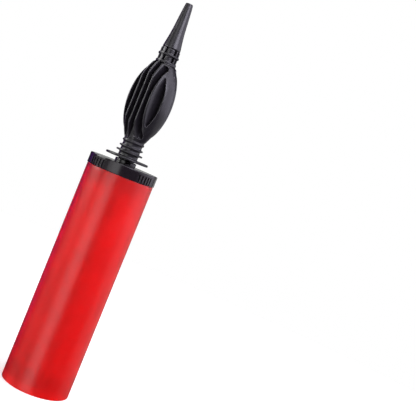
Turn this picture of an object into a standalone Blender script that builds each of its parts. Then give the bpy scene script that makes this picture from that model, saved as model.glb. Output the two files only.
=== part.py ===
"""Double-action hand pump for balloons and balls: a closed barrel, a snap-fit cap, a hollow rod with a
shuttle-ring piston, a finned grip and a tapered nozzle.

The origin is the centre of the barrel's foot, +Z runs up the pump's axis to the nozzle, and the fins of
the grip stand in planes parallel to YZ. The pump is modelled closed, with the piston at the bottom.
"""

import math

import bmesh
import bpy
from mathutils import Matrix, Vector

MM = 0.001

# Driving dimensions
TOTAL_HEIGHT = 290.0 * MM
BARREL_RADIUS = 24.7 * MM
BARREL_WALL = 1.5 * MM
CAP_RADIUS = 25.0 * MM
CAP_TOP = 169.3 * MM
CAP_SKIRT = 7.6 * MM
ROD_RADIUS = 5.8 * MM
ROD_BORE = 4.0 * MM
GRIP_RADIUS = 16.15 * MM
GRIP_MIDDLE = 216.8 * MM
GRIP_HALF_LENGTH = 29.2 * MM
GRIP_END_RADIUS = 7.45 * MM
NOZZLE_BASE = 256.0 * MM
NOZZLE_BASE_RADIUS = 6.6 * MM
NOZZLE_TIP_RADIUS = 2.55 * MM
STROKE = 133.0 * MM

# Gaps that keep neighbours apart
GAP = 0.3 * MM
PRESS_GAP = 0.25 * MM
RUNNING_GAP = 0.2 * MM
CLOSE_GAP = 0.1 * MM

# Edges, from a broken corner to a lead-in
FINE_EDGE = 0.2 * MM
EDGE = 0.3 * MM
BROAD_EDGE = 0.4 * MM
LEAD_IN = 0.5 * MM

# How far a cutting shape runs past the piece, and a length beyond the whole grip
OVERRUN = 1.0 * MM
FAR = 20.0 * MM

# Facets round a turned piece, by its size
LARGE = 40
MEDIUM = 32
SMALL = 24
TINY = 16
HOLE_SIDES = 12
PORT_SIDES = 10
SEAL_SIDES = 6
PISTON_SEAL_SIDES = 10
ROUND_STEPS = 4
SMOOTH_ANGLE = math.radians(35)

# Barrel
BORE = BARREL_RADIUS - BARREL_WALL
BARREL_TOP = CAP_TOP - CAP_SKIRT - GAP
FLOOR_LOW = 5.5 * MM
FLOOR_HIGH = 7.5 * MM
FOOT_ROUND = 0.6 * MM
SNAP_GROOVE_HEIGHT = 154.0 * MM
SNAP_GROOVE_HALF = 0.8 * MM
SNAP_BEAD_HALF = 0.5 * MM
SNAP_DEPTH = 0.4 * MM
INTAKE_HOLE_RADIUS = 1.7 * MM
INTAKE_HOLE_CIRCLE = 5.8 * MM
INTAKE_HOLES = 6

# Bottom intake valve
PIN_RADIUS = 1.6 * MM
PIN_HEAD_RADIUS = 3.3 * MM
PIN_CROWN_RADIUS = 2.6 * MM
PIN_HEAD = 0.8 * MM
PIN_BARB_RADIUS = 2.6 * MM
PIN_BARB = 1.4 * MM
FLAP_RADIUS = 9.5 * MM
FLAP_LOW = FLOOR_HIGH + CLOSE_GAP
FLAP_THICKNESS = 1.0 * MM
FLAP_TRAVEL = 1.0 * MM

# Cap
CAP_PLATE = 2.2 * MM
CAP_EDGE_ROUND = 1.0 * MM
SPIGOT_RADIUS = BORE - GAP
SPIGOT_WALL = 2.0 * MM
SPIGOT_BOTTOM = 152.0 * MM
CAP_HOLE_RADIUS = 7.2 * MM
VALVE_POCKET_RADIUS = 12.0 * MM
VALVE_SLEEVE_WALL = 1.4 * MM
GASKET_HEIGHT = 157.8 * MM
GASKET_SECTION = 0.6 * MM
GASKET_GROOVE_DEPTH = 1.2 * MM
GRIP_RIB_GROUPS = 4
GRIP_GROOVES = 5
GROOVE_PITCH = math.radians(6.4)
GROOVE_WIDTH = 1.35 * MM
GROOVE_DEPTH = 1.25 * MM
GROOVE_TOP = CAP_TOP - 1.9 * MM
CAP_TURN = math.radians(-4.3)

# Rod guide bush, which ends in the seat of the cap valve
HUB_RADIUS = 7.75 * MM
HUB_TOP = CAP_TOP + 2.9 * MM
BUSH_BORE = ROD_RADIUS + GAP
BUSH_RADIUS = CAP_HOLE_RADIUS - CLOSE_GAP
BARB = 0.35 * MM
BARB_LENGTH = 1.5 * MM

# Cap valve
VALVE_RING_THICKNESS = 1.8 * MM
VALVE_RING_TRAVEL = 1.2 * MM
VALVE_RING_RADIUS = 10.4 * MM
VALVE_RING_LEAD = 0.8 * MM
RETAINER_THICKNESS = 1.6 * MM
RETAINER_BORE = ROD_RADIUS + 0.6 * MM
RETAINER_NOTCHES = 4
RETAINER_NOTCH_REACH = 9.0 * MM
RETAINER_NOTCH_HALF = 1.2 * MM

# Piston
PISTON_RADIUS = 22.5 * MM
PISTON_LOW = 8.4 * MM
RIM_THICKNESS = 2.0 * MM
SEAL_SECTION = 1.9 * MM
SEAL_TRAVEL = 1.2 * MM
PISTON_HUB_RADIUS = 8.0 * MM
PISTON_WEB_LOW = 13.0 * MM
PISTON_WEB = 1.6 * MM
PISTON_STEP_RADIUS = 13.5 * MM
PISTON_STEP_BORE = 12.0 * MM
PISTON_HUB_TOP = 23.0 * MM
TOP_SKIRT_RADIUS = 14.5 * MM
TOP_SKIRT_BORE = 13.0 * MM
TOP_RIM_LOW = PISTON_LOW + RIM_THICKNESS + 2 * SEAL_SECTION + SEAL_TRAVEL + 2 * CLOSE_GAP
TOP_RIM = 1.8 * MM
TOP_WEB_LOW = 19.2 * MM
TOP_WEB = 1.6 * MM
CLIP_SLOT = 1.0 * MM
CLIP_SLOT_DEPTH = 0.8 * MM
CLIP_PROUD = 0.9 * MM
CLIP_OPENING_HALF = 1.5 * MM
BUMPER_LOW = TOP_WEB_LOW + TOP_WEB + RUNNING_GAP
BUMPER_HIGH = BUMPER_LOW + 5.0 * MM
BUMPER_RADIUS = 14.2 * MM
BUMPER_BORE = 9.4 * MM
PORT_HEIGHT = 16.8 * MM
PORT_RADIUS = 1.4 * MM
PORTS = 4

# The bumper meets the cap valve's retainer at the end of the stroke.
RETAINER_LOW = BUMPER_HIGH + STROKE + GAP
VALVE_RING_LOW = RETAINER_LOW + RETAINER_THICKNESS + CLOSE_GAP
VALVE_SEAT = VALVE_RING_LOW + VALVE_RING_THICKNESS + VALVE_RING_TRAVEL + CLOSE_GAP

# Rod and its socket in the grip
ROD_BOTTOM = 13.2 * MM
ROD_TOP = 199.0 * MM
ROD_COLLAR_RADIUS = 7.4 * MM
ROD_COLLAR = 1.4 * MM
ROD_COLLAR_SLOPE = 0.6 * MM
PLUG_HEAD = 1.2 * MM
PLUG_LENGTH = 2.0 * MM
SOCKET_RADIUS = ROD_RADIUS + RUNNING_GAP
SOCKET_SEAL_HEIGHT = 193.0 * MM
SOCKET_SEAL_SECTION = 0.5 * MM
SOCKET_SEAL_GROOVE_HALF = 0.8 * MM
SOCKET_SEAL_GROOVE_DEPTH = 1.05 * MM

# Grip
DISC_RADIUS = 15.7 * MM
DISC_HEIGHT = 173.7 * MM
DISC_THICKNESS = 1.6 * MM
LOWER_NECK_RADIUS = 7.1 * MM
LOWER_RINGS = ((178.1 * MM, 9.7 * MM), (181.7 * MM, 8.7 * MM), (185.8 * MM, 8.05 * MM))
RING_THICKNESS = 1.3 * MM
RING_SLOPE = 0.6 * MM
UPPER_NECK_RADIUS = 6.9 * MM
UPPER_RINGS = ((245.9 * MM, 7.55 * MM), (251.2 * MM, 7.65 * MM))
UPPER_RING_THICKNESS = 1.4 * MM
GRIP_FRONT = 12.75 * MM
FIN_PITCH = 5.0 * MM
FIN_THICKNESS = 1.25 * MM
SKIN = 0.9 * MM
LENS_SKIN = 1.25 * MM
FLATS_INSET = 1.0 * MM
BODY_STEPS = 14
POCKET_MIDDLE = 216.3 * MM
POCKET_LIMITS = (28.5 * MM, 26.7 * MM)
LENS_HALF_LENGTH = 19.6 * MM
WEB_THICKNESS = 1.2 * MM
CORE_RADIUS = 4.8 * MM
CORE_TOP_RADIUS = 4.2 * MM
CORE_TOP = 257.4 * MM
CORE_TAPER = (240.0 * MM, 243.0 * MM)
CORE_FLARE = (201.0 * MM, 205.0 * MM)
AIR_BORE = 2.8 * MM
AIR_BORE_FLARE = 202.0 * MM
SPIGOT_TOP = 262.0 * MM
NOZZLE_SPIGOT_RADIUS = 4.5 * MM
WINDOW_WIDTH = 2.0 * MM
WINDOW_OFFSETS = (math.radians(14.0), math.radians(19.5))
WINDOW_FLOOR = 4.7 * MM
QUARTERS = 4
NOZZLE_SEAL_HEIGHT = 259.4 * MM
NOZZLE_SEAL_SECTION = 0.4 * MM
NOZZLE_SEAL_GROOVE_HALF = 0.7 * MM
NOZZLE_SEAL_GROOVE_DEPTH = 0.95 * MM

# Nozzle
NOZZLE_KINK = 267.3 * MM
NOZZLE_KINK_RADIUS = 4.8 * MM
NOZZLE_WALL = 1.3 * MM
NOZZLE_OUTLET = 1.7 * MM
NOZZLE_OUTLET_LENGTH = 2.0 * MM
NOZZLE_POINT_RADIUS = 3.1 * MM
NOZZLE_POINT_LENGTH = 3.6 * MM
NOZZLE_TIP_ROUND = 0.5 * MM

# Colours, as linear red, green and blue
RED = (0.68, 0.014, 0.014)
BLACK = (0.022, 0.021, 0.026)
RUBBER = (0.012, 0.012, 0.012)
NATURAL = (0.62, 0.60, 0.56)


def clear_scene():
    """Removes every object, so that the part starts from nothing."""
    for old in list(bpy.data.objects):
        bpy.data.objects.remove(old)


def collection(name):
    """A new collection in the scene."""
    made = bpy.data.collections.new(name)
    bpy.context.scene.collection.children.link(made)
    return made


def plastic(name, colour, roughness):
    """A Principled material of one colour."""
    material = bpy.data.materials.new(name)
    material.use_nodes = True
    shader = material.node_tree.nodes["Principled BSDF"]
    shader.inputs["Base Color"].default_value = (*colour, 1)
    shader.inputs["Roughness"].default_value = roughness
    shader.inputs["Metallic"].default_value = 0
    return material


def place(obj, material=None, cutter=False):
    """Links an object as a part or, with cutter, as a hidden cutting shape."""
    if cutter:
        CUTTERS.objects.link(obj)
        obj.hide_render = True
        obj.display_type = "WIRE"
    else:
        PARTS.objects.link(obj)
        obj.data.materials.append(material)
    return obj


def turned(name, profile, segments, material=None, cutter=False):
    """A piece turned about Z. profile holds (radius, height) points that run down the outer side. It is
    a closed loop, or runs from axis to axis where its first and last radius are zero."""
    count = len(profile)
    solid_core = profile[0][0] == 0 and profile[-1][0] == 0
    last = count - 1 if solid_core else count
    mesh = bpy.data.meshes.new(name)
    mesh.from_pydata(
        [(radius, 0, height) for radius, height in profile],
        [(i, (i + 1) % count) for i in range(last)],
        [],
    )
    obj = place(bpy.data.objects.new(name, mesh), material, cutter)
    screw = obj.modifiers.new("Turn", "SCREW")
    screw.axis = "Z"
    screw.steps = segments
    screw.render_steps = segments
    screw.use_merge_vertices = True
    screw.merge_threshold = 0.01 * MM
    screw.use_smooth_shade = False
    return obj


def arc(centre, radius, start, end, steps):
    """Points of an arc in the (radius, height) plane, from angle start to angle end in degrees."""
    turns = [math.radians(start + (end - start) * i / steps) for i in range(steps + 1)]
    return [(centre[0] + radius * math.cos(t), centre[1] + radius * math.sin(t)) for t in turns]


def seal_ring(name, height, centre_radius, section, segments, sides, material):
    """An O-ring: a round section turned about Z."""
    loop = arc((centre_radius, height), section, 90, -270, sides)[:-1]
    return turned(name, loop, segments, material)


def cut(obj, cutter, operation="DIFFERENCE"):
    """Cuts a shape out of obj or, with UNION, joins it on."""
    boolean = obj.modifiers.new(f"{operation.title()} {cutter.name}", "BOOLEAN")
    boolean.operation = operation
    boolean.solver = "EXACT"
    boolean.object = cutter
    return obj


def shapes(name, fill):
    """A cutter made of several primitives that fill() adds to one bmesh."""
    mesh = bpy.data.meshes.new(name)
    bm = bmesh.new()
    fill(bm)
    bm.to_mesh(mesh)
    bm.free()
    return place(bpy.data.objects.new(name, mesh), cutter=True)


def add_box(bm, low, high, turn=0.0):
    """A box between two corners, then turned about Z."""
    low, high = Vector(low), Vector(high)
    matrix = (
        Matrix.Rotation(turn, 4, "Z")
        @ Matrix.Translation((low + high) / 2)
        @ Matrix.Diagonal((*(high - low), 1))
    )
    bmesh.ops.create_cube(bm, size=1, matrix=matrix)


def add_rod(bm, start, end, radius, sides=16):
    """A straight round rod from start to end."""
    start, end = Vector(start), Vector(end)
    along = end - start
    matrix = Matrix.Translation((start + end) / 2) @ along.to_track_quat("Z", "Y").to_matrix().to_4x4()
    bmesh.ops.create_cone(
        bm,
        cap_ends=True,
        segments=sides,
        radius1=radius,
        radius2=radius,
        depth=along.length,
        matrix=matrix,
    )


def prisms(name, outlines, near, far):
    """A cutter of flat outlines in the XZ plane, each run along Y from near to far."""
    curve = bpy.data.curves.new(name, "CURVE")
    curve.dimensions = "2D"
    curve.fill_mode = "BOTH"
    curve.extrude = abs(far - near) / 2
    for outline in outlines:
        spline = curve.splines.new("POLY")
        spline.points.add(len(outline) - 1)
        spline.use_cyclic_u = True
        for point, (x, z) in zip(spline.points, outline):
            point.co = (x, z, 0, 1)
    guide = bpy.data.objects.new(name + "_outline", curve)
    guide.rotation_euler = (math.pi / 2, 0, 0)
    guide.location = (0, (near + far) / 2, 0)
    CUTTERS.objects.link(guide)
    bpy.context.view_layer.update()
    graph = bpy.context.evaluated_depsgraph_get()
    mesh = bpy.data.meshes.new_from_object(guide.evaluated_get(graph))
    bm = bmesh.new()
    bm.from_mesh(mesh)
    bmesh.ops.remove_doubles(bm, verts=bm.verts, dist=0.001 * MM)
    bmesh.ops.recalc_face_normals(bm, faces=bm.faces)
    bm.to_mesh(mesh)
    bm.free()
    obj = place(bpy.data.objects.new(name, mesh), cutter=True)
    obj.matrix_world = guide.matrix_world
    bpy.data.objects.remove(guide)
    return obj


# The outline of the grip is one arc through its widest point and both ends.
GRIP_TOP = GRIP_MIDDLE + GRIP_HALF_LENGTH
GRIP_BOTTOM = GRIP_MIDDLE - GRIP_HALF_LENGTH
SAGITTA = GRIP_RADIUS - GRIP_END_RADIUS
GRIP_ARC = (GRIP_HALF_LENGTH**2 + SAGITTA**2) / (2 * SAGITTA)


def grip_radius(height):
    """The grip's outline radius at a height from its middle."""
    return GRIP_RADIUS - GRIP_ARC + math.sqrt(GRIP_ARC**2 - height**2)


def grip_reach(radius):
    """How far above the middle the grip's outline falls to a radius."""
    drop = GRIP_RADIUS - radius
    return math.sqrt(max(GRIP_ARC**2 - (GRIP_ARC - drop) ** 2, 0))


def pocket_outline(low, high, limit, steps=4):
    """One pocket between two fins: its ends follow the grip's outline, a skin's thickness inside it, and
    stop at limit from the pocket's middle."""
    across = [low + (high - low) * i / steps for i in range(steps + 1)]
    ends = [min(grip_reach(x + SKIN), limit) for x in across]
    upper = [(x, POCKET_MIDDLE + z) for x, z in zip(across, ends)]
    lower = [(x, POCKET_MIDDLE - z) for x, z in zip(across, ends)]
    return upper + lower[::-1]


def lens_outline(low, high, steps=14):
    """The outermost pocket: straight along the last fin and an arc along the skin."""
    depth = high - low
    radius = (LENS_HALF_LENGTH**2 + depth**2) / (2 * depth)
    heights = [LENS_HALF_LENGTH * (2 * i / steps - 1) for i in range(steps + 1)]
    return [(high - radius + math.sqrt(radius**2 - z**2), GRIP_MIDDLE + z) for z in heights]


def shade(obj):
    """Applies an object's modifiers and shades it smooth between its sharp edges."""
    bpy.context.view_layer.update()
    graph = bpy.context.evaluated_depsgraph_get()
    mesh = bpy.data.meshes.new_from_object(obj.evaluated_get(graph))
    mesh.shade_smooth()
    mesh.set_sharp_from_angle(angle=SMOOTH_ANGLE)
    obj.modifiers.clear()
    obj.data = mesh


def mirrored(outlines):
    """The outlines and their mirror images in the YZ plane."""
    return outlines + [[(-x, z) for x, z in outline] for outline in outlines]


def pocket_outlines():
    """Every pocket on one face of the grip."""
    half = FIN_THICKNESS / 2
    inner = [
        pocket_outline(i * FIN_PITCH + half, (i + 1) * FIN_PITCH - half, limit)
        for i, limit in enumerate(POCKET_LIMITS)
    ]
    lens = lens_outline(2 * FIN_PITCH + half, GRIP_RADIUS - LENS_SKIN)
    return mirrored(inner + [lens])


def ring_profile(height, radius, root, thickness):
    """The part of a profile that is one flat ring, from its top to its bottom."""
    half = thickness / 2
    return [
        (root, height + half),
        (radius, height + half),
        (radius, height - half),
        (root, height - half),
    ]


def make_barrel():
    """The closed tube, with a recessed floor that holds the intake holes."""
    groove_low = SNAP_GROOVE_HEIGHT - SNAP_GROOVE_HALF
    groove_high = SNAP_GROOVE_HEIGHT + SNAP_GROOVE_HALF
    hole = PIN_RADIUS + GAP
    mid_round = FOOT_ROUND * (1 - math.cos(math.radians(45)))
    profile = [
        (BARREL_RADIUS - FINE_EDGE, BARREL_TOP),
        (BARREL_RADIUS, BARREL_TOP - FINE_EDGE),
        (BARREL_RADIUS, FOOT_ROUND),
        (BARREL_RADIUS - mid_round, mid_round),
        (BARREL_RADIUS - FOOT_ROUND, 0),
        (BORE, 0),
        (BORE, FLOOR_LOW),
        (hole, FLOOR_LOW),
        (hole, FLOOR_HIGH),
        (BORE, FLOOR_HIGH),
        (BORE, groove_low),
        (BORE + SNAP_DEPTH, groove_low + SNAP_DEPTH),
        (BORE + SNAP_DEPTH, groove_high - SNAP_DEPTH),
        (BORE, groove_high),
        (BORE, BARREL_TOP - BROAD_EDGE),
        (BORE + BROAD_EDGE, BARREL_TOP),
    ]
    barrel = turned("barrel", profile, LARGE, RED_PLASTIC)

    def holes(bm):
        for i in range(INTAKE_HOLES):
            angle = 2 * math.pi * i / INTAKE_HOLES
            x = INTAKE_HOLE_CIRCLE * math.cos(angle)
            y = INTAKE_HOLE_CIRCLE * math.sin(angle)
            low = (x, y, FLOOR_LOW - OVERRUN)
            high = (x, y, FLOOR_HIGH + OVERRUN)
            add_rod(bm, low, high, INTAKE_HOLE_RADIUS, HOLE_SIDES)

    return cut(barrel, shapes("intake_holes", holes))


def make_intake_valve():
    """The floating flap over the intake holes and the snap-in pin that guides it."""
    top = FLAP_LOW + FLAP_THICKNESS + FLAP_TRAVEL + GAP
    hole = PIN_RADIUS + GAP
    flap = [
        (FLAP_RADIUS - FINE_EDGE, FLAP_LOW + FLAP_THICKNESS),
        (FLAP_RADIUS, FLAP_LOW + FLAP_THICKNESS / 2),
        (FLAP_RADIUS - FINE_EDGE, FLAP_LOW),
        (hole, FLAP_LOW),
        (hole, FLAP_LOW + FLAP_THICKNESS),
    ]
    turned("intake_flap", flap, SMALL, RUBBER_BLACK)
    barb_high = FLOOR_LOW - RUNNING_GAP
    pin = [
        (0, top + PIN_HEAD),
        (PIN_CROWN_RADIUS, top + PIN_HEAD),
        (PIN_HEAD_RADIUS, top + EDGE),
        (PIN_HEAD_RADIUS, top),
        (PIN_RADIUS, top),
        (PIN_RADIUS, barb_high),
        (PIN_BARB_RADIUS, barb_high),
        (PIN_RADIUS, barb_high - PIN_BARB),
        (0, barb_high - PIN_BARB),
    ]
    turned("intake_valve_pin", pin, TINY, BLACK_PLASTIC)


def make_cap():
    """The cap: flange, plug-in spigot with a snap bead and a gasket groove, and the valve's sleeve."""
    skirt_low = CAP_TOP - CAP_SKIRT
    plate_low = CAP_TOP - CAP_PLATE
    spigot_bore = SPIGOT_RADIUS - SPIGOT_WALL
    sleeve_radius = VALVE_POCKET_RADIUS + VALVE_SLEEVE_WALL
    bead_low = SNAP_GROOVE_HEIGHT - SNAP_BEAD_HALF
    bead_high = SNAP_GROOVE_HEIGHT + SNAP_BEAD_HALF
    bead_radius = SPIGOT_RADIUS + SNAP_DEPTH
    groove_low = GASKET_HEIGHT - GASKET_SECTION - GAP
    groove_high = GASKET_HEIGHT + GASKET_SECTION + GAP
    groove_floor = SPIGOT_RADIUS - GASKET_GROOVE_DEPTH
    round_centre = (CAP_RADIUS - CAP_EDGE_ROUND, CAP_TOP - CAP_EDGE_ROUND)
    profile = [
        (CAP_HOLE_RADIUS, CAP_TOP),
        *arc(round_centre, CAP_EDGE_ROUND, 90, 0, ROUND_STEPS),
        (CAP_RADIUS, skirt_low + FINE_EDGE),
        (CAP_RADIUS - FINE_EDGE, skirt_low),
        (SPIGOT_RADIUS, skirt_low),
        (SPIGOT_RADIUS, groove_high),
        (groove_floor, groove_high),
        (groove_floor, groove_low),
        (SPIGOT_RADIUS, groove_low),
        (SPIGOT_RADIUS, bead_high + SNAP_DEPTH),
        (bead_radius, bead_high),
        (bead_radius, bead_low),
        (SPIGOT_RADIUS, bead_low - SNAP_DEPTH),
        (SPIGOT_RADIUS - LEAD_IN, SPIGOT_BOTTOM),
        (spigot_bore, SPIGOT_BOTTOM),
        (spigot_bore, plate_low),
        (sleeve_radius, plate_low),
        (sleeve_radius, RETAINER_LOW),
        (VALVE_POCKET_RADIUS, RETAINER_LOW),
        (VALVE_POCKET_RADIUS, plate_low),
        (CAP_HOLE_RADIUS, plate_low),
    ]
    cap = turned("barrel_cap", profile, LARGE, BLACK_PLASTIC)

    def grooves(bm):
        for group in range(GRIP_RIB_GROUPS):
            for i in range(GRIP_GROOVES):
                turn = CAP_TURN + group * math.pi / 2 + (i - (GRIP_GROOVES - 1) / 2) * GROOVE_PITCH
                add_box(
                    bm,
                    (CAP_RADIUS - GROOVE_DEPTH, -GROOVE_WIDTH / 2, skirt_low - OVERRUN),
                    (CAP_RADIUS + OVERRUN, GROOVE_WIDTH / 2, GROOVE_TOP),
                    turn,
                )

    cut(cap, shapes("cap_grooves", grooves))
    centre = BORE - CLOSE_GAP - GASKET_SECTION
    seal_ring("cap_gasket", GASKET_HEIGHT, centre, GASKET_SECTION, LARGE, SEAL_SIDES, RUBBER_BLACK)


def make_rod_guide():
    """The bush that guides the rod: a hub and barbed sleeve pushed through the cap from above."""
    plate_low = CAP_TOP - CAP_PLATE
    barb_high = plate_low - RUNNING_GAP
    profile = [
        (BUSH_BORE + BROAD_EDGE, HUB_TOP),
        (HUB_RADIUS - BROAD_EDGE, HUB_TOP),
        (HUB_RADIUS, HUB_TOP - BROAD_EDGE),
        (HUB_RADIUS, CAP_TOP + CLOSE_GAP),
        (BUSH_RADIUS, CAP_TOP + CLOSE_GAP),
        (BUSH_RADIUS, barb_high),
        (BUSH_RADIUS + BARB, barb_high),
        (BUSH_RADIUS, barb_high - BARB_LENGTH),
        (BUSH_RADIUS, VALVE_SEAT),
        (BUSH_BORE, VALVE_SEAT),
        (BUSH_BORE, HUB_TOP - BROAD_EDGE),
    ]
    turned("rod_guide_bush", profile, MEDIUM, BLACK_PLASTIC)


def make_cap_valve():
    """The rubber ring that seals and breathes round the rod, and the notched retainer under it."""
    retainer_top = RETAINER_LOW + RETAINER_THICKNESS
    ring_bore = ROD_RADIUS + RUNNING_GAP
    ring = [
        (VALVE_RING_RADIUS, VALVE_RING_LOW + VALVE_RING_THICKNESS),
        (VALVE_RING_RADIUS, VALVE_RING_LOW),
        (ring_bore + VALVE_RING_LEAD, VALVE_RING_LOW),
        (ring_bore, VALVE_RING_LOW + LEAD_IN),
        (ring_bore, VALVE_RING_LOW + VALVE_RING_THICKNESS - LEAD_IN),
        (ring_bore + VALVE_RING_LEAD, VALVE_RING_LOW + VALVE_RING_THICKNESS),
    ]
    turned("cap_valve_ring", ring, SMALL, RUBBER_BLACK)
    outer = VALVE_POCKET_RADIUS - GAP
    retainer = turned(
        "cap_valve_retainer",
        [
            (outer, retainer_top),
            (outer, RETAINER_LOW),
            (RETAINER_BORE, RETAINER_LOW),
            (RETAINER_BORE, retainer_top),
        ],
        SMALL,
        WHITE_PLASTIC,
    )

    def notches(bm):
        for i in range(RETAINER_NOTCHES):
            add_box(
                bm,
                (0, -RETAINER_NOTCH_HALF, RETAINER_LOW - OVERRUN),
                (RETAINER_NOTCH_REACH, RETAINER_NOTCH_HALF, retainer_top + OVERRUN),
                math.pi / 4 + i * math.pi / 2,
            )

    cut(retainer, shapes("retainer_notches", notches))


def make_piston():
    """The two halves of the piston, the shuttle ring between their rims, a snap ring and a bumper."""
    low_top = PISTON_LOW + RIM_THICKNESS
    web_top = PISTON_WEB_LOW + PISTON_WEB
    hub_bore = ROD_RADIUS + PRESS_GAP
    snap_low = TOP_WEB_LOW + TOP_WEB + RUNNING_GAP
    snap_high = snap_low + CLIP_SLOT
    snap_floor = PISTON_HUB_RADIUS - CLIP_SLOT_DEPTH
    base_profile = [
        (PISTON_HUB_RADIUS, PISTON_HUB_TOP),
        (PISTON_HUB_RADIUS, snap_high),
        (snap_floor, snap_high),
        (snap_floor, snap_low),
        (PISTON_HUB_RADIUS, snap_low),
        (PISTON_HUB_RADIUS, web_top),
        (PISTON_STEP_RADIUS, web_top),
        (PISTON_STEP_RADIUS, low_top),
        (PISTON_RADIUS - EDGE, low_top),
        (PISTON_RADIUS, low_top - EDGE),
        (PISTON_RADIUS, PISTON_LOW + EDGE),
        (PISTON_RADIUS - EDGE, PISTON_LOW),
        (PISTON_STEP_BORE, PISTON_LOW),
        (PISTON_STEP_BORE, PISTON_WEB_LOW),
        (hub_bore, PISTON_WEB_LOW),
        (hub_bore, PISTON_HUB_TOP),
    ]
    base = turned("piston_base", base_profile, LARGE, WHITE_PLASTIC)
    cut(base, shapes("piston_ports", lambda bm: radial_ports(bm, PISTON_HUB_RADIUS + OVERRUN)))

    top_high = TOP_WEB_LOW + TOP_WEB
    hub_clear = PISTON_HUB_RADIUS + PRESS_GAP
    top_profile = [
        (TOP_SKIRT_RADIUS, top_high),
        (TOP_SKIRT_RADIUS, TOP_RIM_LOW + TOP_RIM),
        (PISTON_RADIUS - EDGE, TOP_RIM_LOW + TOP_RIM),
        (PISTON_RADIUS, TOP_RIM_LOW + TOP_RIM - EDGE),
        (PISTON_RADIUS, TOP_RIM_LOW + EDGE),
        (PISTON_RADIUS - EDGE, TOP_RIM_LOW),
        (TOP_SKIRT_BORE, TOP_RIM_LOW),
        (TOP_SKIRT_BORE, TOP_WEB_LOW),
        (hub_clear, TOP_WEB_LOW),
        (hub_clear, top_high),
    ]
    turned("piston_top_plate", top_profile, LARGE, WHITE_PLASTIC)

    seal_ring(
        "piston_seal_ring",
        low_top + CLOSE_GAP + SEAL_SECTION,
        BORE - CLOSE_GAP - SEAL_SECTION,
        SEAL_SECTION,
        LARGE,
        PISTON_SEAL_SIDES,
        RUBBER_BLACK,
    )

    clip = [
        (PISTON_HUB_RADIUS + CLIP_PROUD, snap_high - CLOSE_GAP),
        (PISTON_HUB_RADIUS + CLIP_PROUD, snap_low + CLOSE_GAP),
        (snap_floor + RUNNING_GAP, snap_low + CLOSE_GAP),
        (snap_floor + RUNNING_GAP, snap_high - CLOSE_GAP),
    ]
    clip_ring = turned("piston_snap_ring", clip, SMALL, STEEL)

    def opening(bm):
        low = (0, -CLIP_OPENING_HALF, snap_low - OVERRUN)
        high = (FAR, CLIP_OPENING_HALF, snap_high + OVERRUN)
        add_box(bm, low, high)

    cut(clip_ring, shapes("snap_ring_opening", opening))

    bumper = [
        (BUMPER_RADIUS - EDGE, BUMPER_HIGH),
        (BUMPER_RADIUS, BUMPER_HIGH - LEAD_IN),
        (BUMPER_RADIUS, BUMPER_LOW),
        (BUMPER_BORE, BUMPER_LOW),
        (BUMPER_BORE, BUMPER_HIGH),
    ]
    turned("stroke_bumper", bumper, SMALL, RUBBER_BLACK)


def radial_ports(bm, reach):
    """Round ports that run out from the axis, through the rod and the piston's hub."""
    for i in range(PORTS):
        angle = math.pi / 4 + i * math.pi / 2
        out = Vector((math.cos(angle), math.sin(angle), 0)) * reach
        inner = out.normalized() * (ROD_BORE - OVERRUN)
        height = Vector((0, 0, PORT_HEIGHT))
        add_rod(bm, inner + height, out + height, PORT_RADIUS, PORT_SIDES)


def make_rod():
    """The hollow rod, the plug that closes its foot, and its O-ring in the grip's socket."""
    collar_low = PISTON_HUB_TOP + PRESS_GAP
    collar_high = collar_low + ROD_COLLAR
    seal_floor = ROD_RADIUS - SOCKET_SEAL_GROOVE_DEPTH
    profile = [
        (ROD_RADIUS - BROAD_EDGE, ROD_TOP),
        (ROD_RADIUS, ROD_TOP - BROAD_EDGE),
        (ROD_RADIUS, SOCKET_SEAL_HEIGHT + SOCKET_SEAL_GROOVE_HALF),
        (seal_floor, SOCKET_SEAL_HEIGHT + SOCKET_SEAL_GROOVE_HALF),
        (seal_floor, SOCKET_SEAL_HEIGHT - SOCKET_SEAL_GROOVE_HALF),
        (ROD_RADIUS, SOCKET_SEAL_HEIGHT - SOCKET_SEAL_GROOVE_HALF),
        (ROD_RADIUS, collar_high + ROD_COLLAR_SLOPE),
        (ROD_COLLAR_RADIUS, collar_high),
        (ROD_COLLAR_RADIUS, collar_low),
        (ROD_RADIUS, collar_low),
        (ROD_RADIUS, ROD_BOTTOM),
        (ROD_BORE, ROD_BOTTOM),
        (ROD_BORE, ROD_TOP),
    ]
    rod = turned("pump_rod", profile, SMALL, BLACK_PLASTIC)
    cut(rod, shapes("rod_ports", lambda bm: radial_ports(bm, ROD_RADIUS + OVERRUN)))

    head_high = PISTON_WEB_LOW - RUNNING_GAP
    head_low = head_high - PLUG_HEAD
    plug_radius = ROD_BORE - RUNNING_GAP
    plug = [
        (0, ROD_BOTTOM + PLUG_LENGTH),
        (plug_radius - BROAD_EDGE, ROD_BOTTOM + PLUG_LENGTH),
        (plug_radius, ROD_BOTTOM + PLUG_LENGTH - BROAD_EDGE),
        (plug_radius, head_high),
        (ROD_COLLAR_RADIUS, head_high),
        (ROD_COLLAR_RADIUS, head_low + EDGE),
        (ROD_COLLAR_RADIUS - EDGE, head_low),
        (0, head_low),
    ]
    turned("rod_end_plug", plug, SMALL, WHITE_PLASTIC)
    seal_ring(
        "rod_socket_seal",
        SOCKET_SEAL_HEIGHT,
        SOCKET_RADIUS - CLOSE_GAP - SOCKET_SEAL_SECTION,
        SOCKET_SEAL_SECTION,
        SMALL,
        SEAL_SIDES,
        RUBBER_BLACK,
    )


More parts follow.
